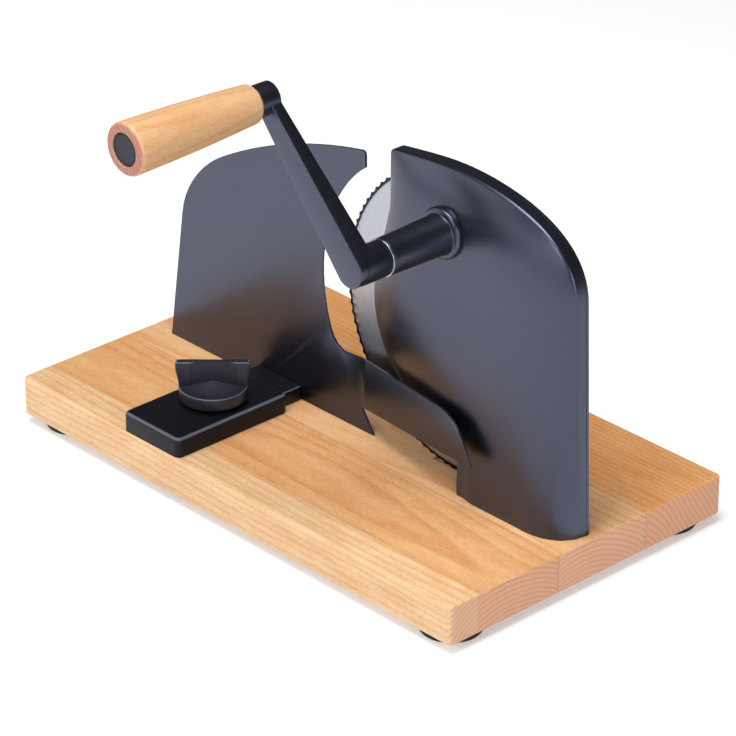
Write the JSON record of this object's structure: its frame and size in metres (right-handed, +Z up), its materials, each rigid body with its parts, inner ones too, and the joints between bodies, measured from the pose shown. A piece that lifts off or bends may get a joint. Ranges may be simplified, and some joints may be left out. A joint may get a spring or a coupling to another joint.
{
  "type": "manual food slicer",
  "caption": "Hand-cranked food slicer: round blade in a domed housing on a beech board, with an adjustable fence plate and a wooden crank handle.",
  "frame": {"origin": "on the table under the middle of the whole object, from the handle's free end to the board's back edge", "axes": "+X along the board's long side towards the blade housing, +Y from the crank side to the loaf side, +Z up"},
  "size_m": [0.38, 0.3006, 0.2905],
  "materials": {
    "beech": "oiled beech staves",
    "handle_beech": "oiled turned beech",
    "black_coating": "satin black powder coat",
    "black_plastic": "matt black moulding",
    "grey_plastic": "dark grey moulding",
    "rubber": "matt black rubber",
    "blade_steel": "ground stainless steel",
    "steel": "turned and plated steel",
    "brass": "turned brass",
    "gear_plastic": "natural white gear plastic"
  },
  "bodies": {
    "base": {"base_board": "beech", "foot_1": "rubber", "foot_2": "rubber", "foot_3": "rubber", "foot_4": "rubber", "foot_screw_1": "steel", "foot_screw_2": "steel", "foot_screw_3": "steel", "foot_screw_4": "steel", "cover_screw_1": "steel", "cover_screw_2": "steel", "cover_screw_3": "steel", "cover_screw_4": "steel", "body_screw_1": "steel", "body_screw_2": "steel", "body_screw_3": "steel", "tube_nut": "steel", "clamp_housing_screw_1": "steel", "clamp_housing_screw_2": "steel", "body_housing": "black_coating", "back_cover": "black_coating", "bearing_tube": "black_coating", "shaft_bush_front": "brass", "shaft_bush_rear": "brass", "spindle_bush": "brass", "board_insert": "brass", "clamp_housing": "black_plastic"},
    "crank": {"crank_shaft": "steel", "crank_arm": "black_coating", "arm_set_screw": "steel", "thrust_ring": "steel", "drive_gear": "gear_plastic", "gear_clip": "steel", "handle_pin": "steel"},
    "handle": {"handle_grip": "handle_beech", "handle_cap": "grey_plastic"},
    "blade": {"blade_spindle": "steel", "driven_gear": "gear_plastic", "blade": "blade_steel", "blade_clamp_screw": "steel"},
    "fence": {"fence_plate": "black_coating", "fence_slider": "black_plastic", "fence_screw_1": "steel", "fence_screw_2": "steel"},
    "knob": {"clamp_knob": "black_plastic", "clamp_stud": "steel"}
  },
  "joints": [
    {"name": "crank_turn", "type": "hinge", "parent": "base", "child": "crank", "pos_m": [0.0847, -0.02725, 0.19445], "axis": [0, 1, 0], "continuous": true},
    {"name": "handle_spin", "type": "hinge", "parent": "crank", "child": "handle", "pos_m": [0.01326, -0.05355, 0.27491], "axis": [0, 1, 0], "continuous": true},
    {"name": "blade_turn", "type": "hinge", "parent": "base", "child": "blade", "pos_m": [0.0802, 0.04135, 0.1266], "axis": [0, 1, 0], "continuous": true},
    {"name": "fence_slide", "type": "slide", "parent": "base", "child": "fence", "axis": [0, 1, 0], "range_m": [-0.012, 0.0033]},
    {"name": "knob_turn", "type": "hinge", "parent": "base", "child": "knob", "pos_m": [-0.0688, -0.02075, 0.0445], "axis": [0, 0, 1], "range_deg": [0, 90]}
  ],
  "couplings": [
    {"joint": "blade_turn", "follows": "crank_turn", "ratio": -0.61905}
  ]
}
